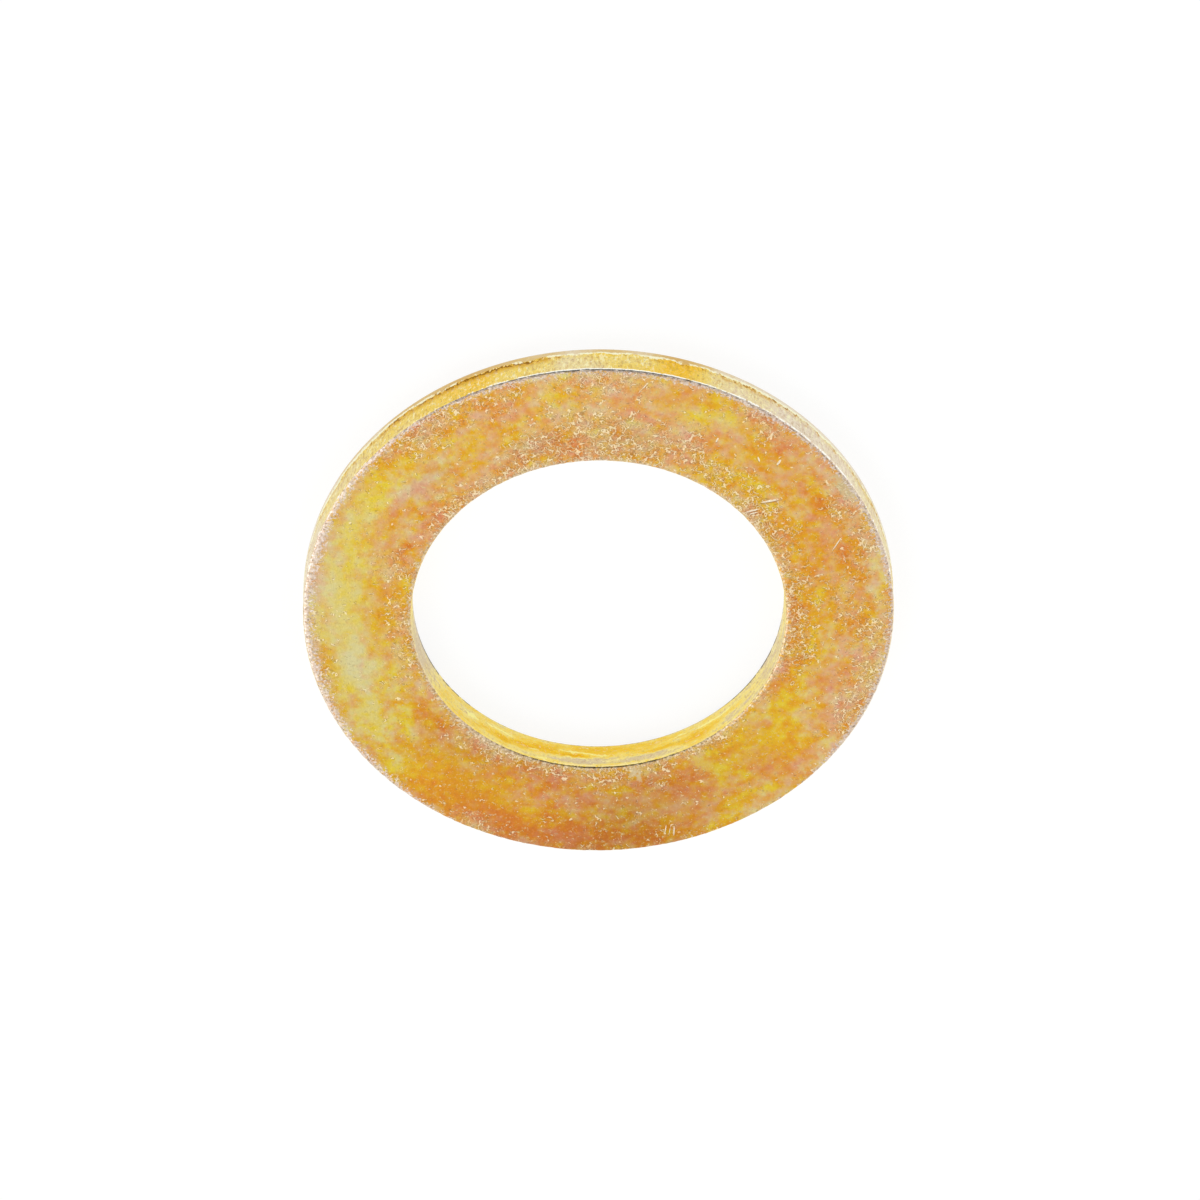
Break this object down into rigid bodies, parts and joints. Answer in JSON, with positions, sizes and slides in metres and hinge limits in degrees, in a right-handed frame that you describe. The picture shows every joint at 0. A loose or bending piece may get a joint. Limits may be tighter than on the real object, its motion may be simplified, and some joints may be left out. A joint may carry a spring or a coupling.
{
  "type": "flat washer",
  "caption": "Thin, narrow flat washer, punched from steel strip and zinc plated with an iridescent yellow chromate.",
  "frame": {"origin": "on the washer's axis, in its seat face (the face with the rounded roll-over edges)", "axes": "+Z along the axis towards the burr face; X and Y lie in the seat face, and the ring is round, so their direction is free"},
  "size_m": [0.0254, 0.0254, 0.0016],
  "materials": {
    "yellow_zinc": "tumbled steel, zinc plated, yellow chromate passivate, satin"
  },
  "bodies": {
    "root": {"flat_washer": "yellow_zinc"}
  },
  "joints": []
}
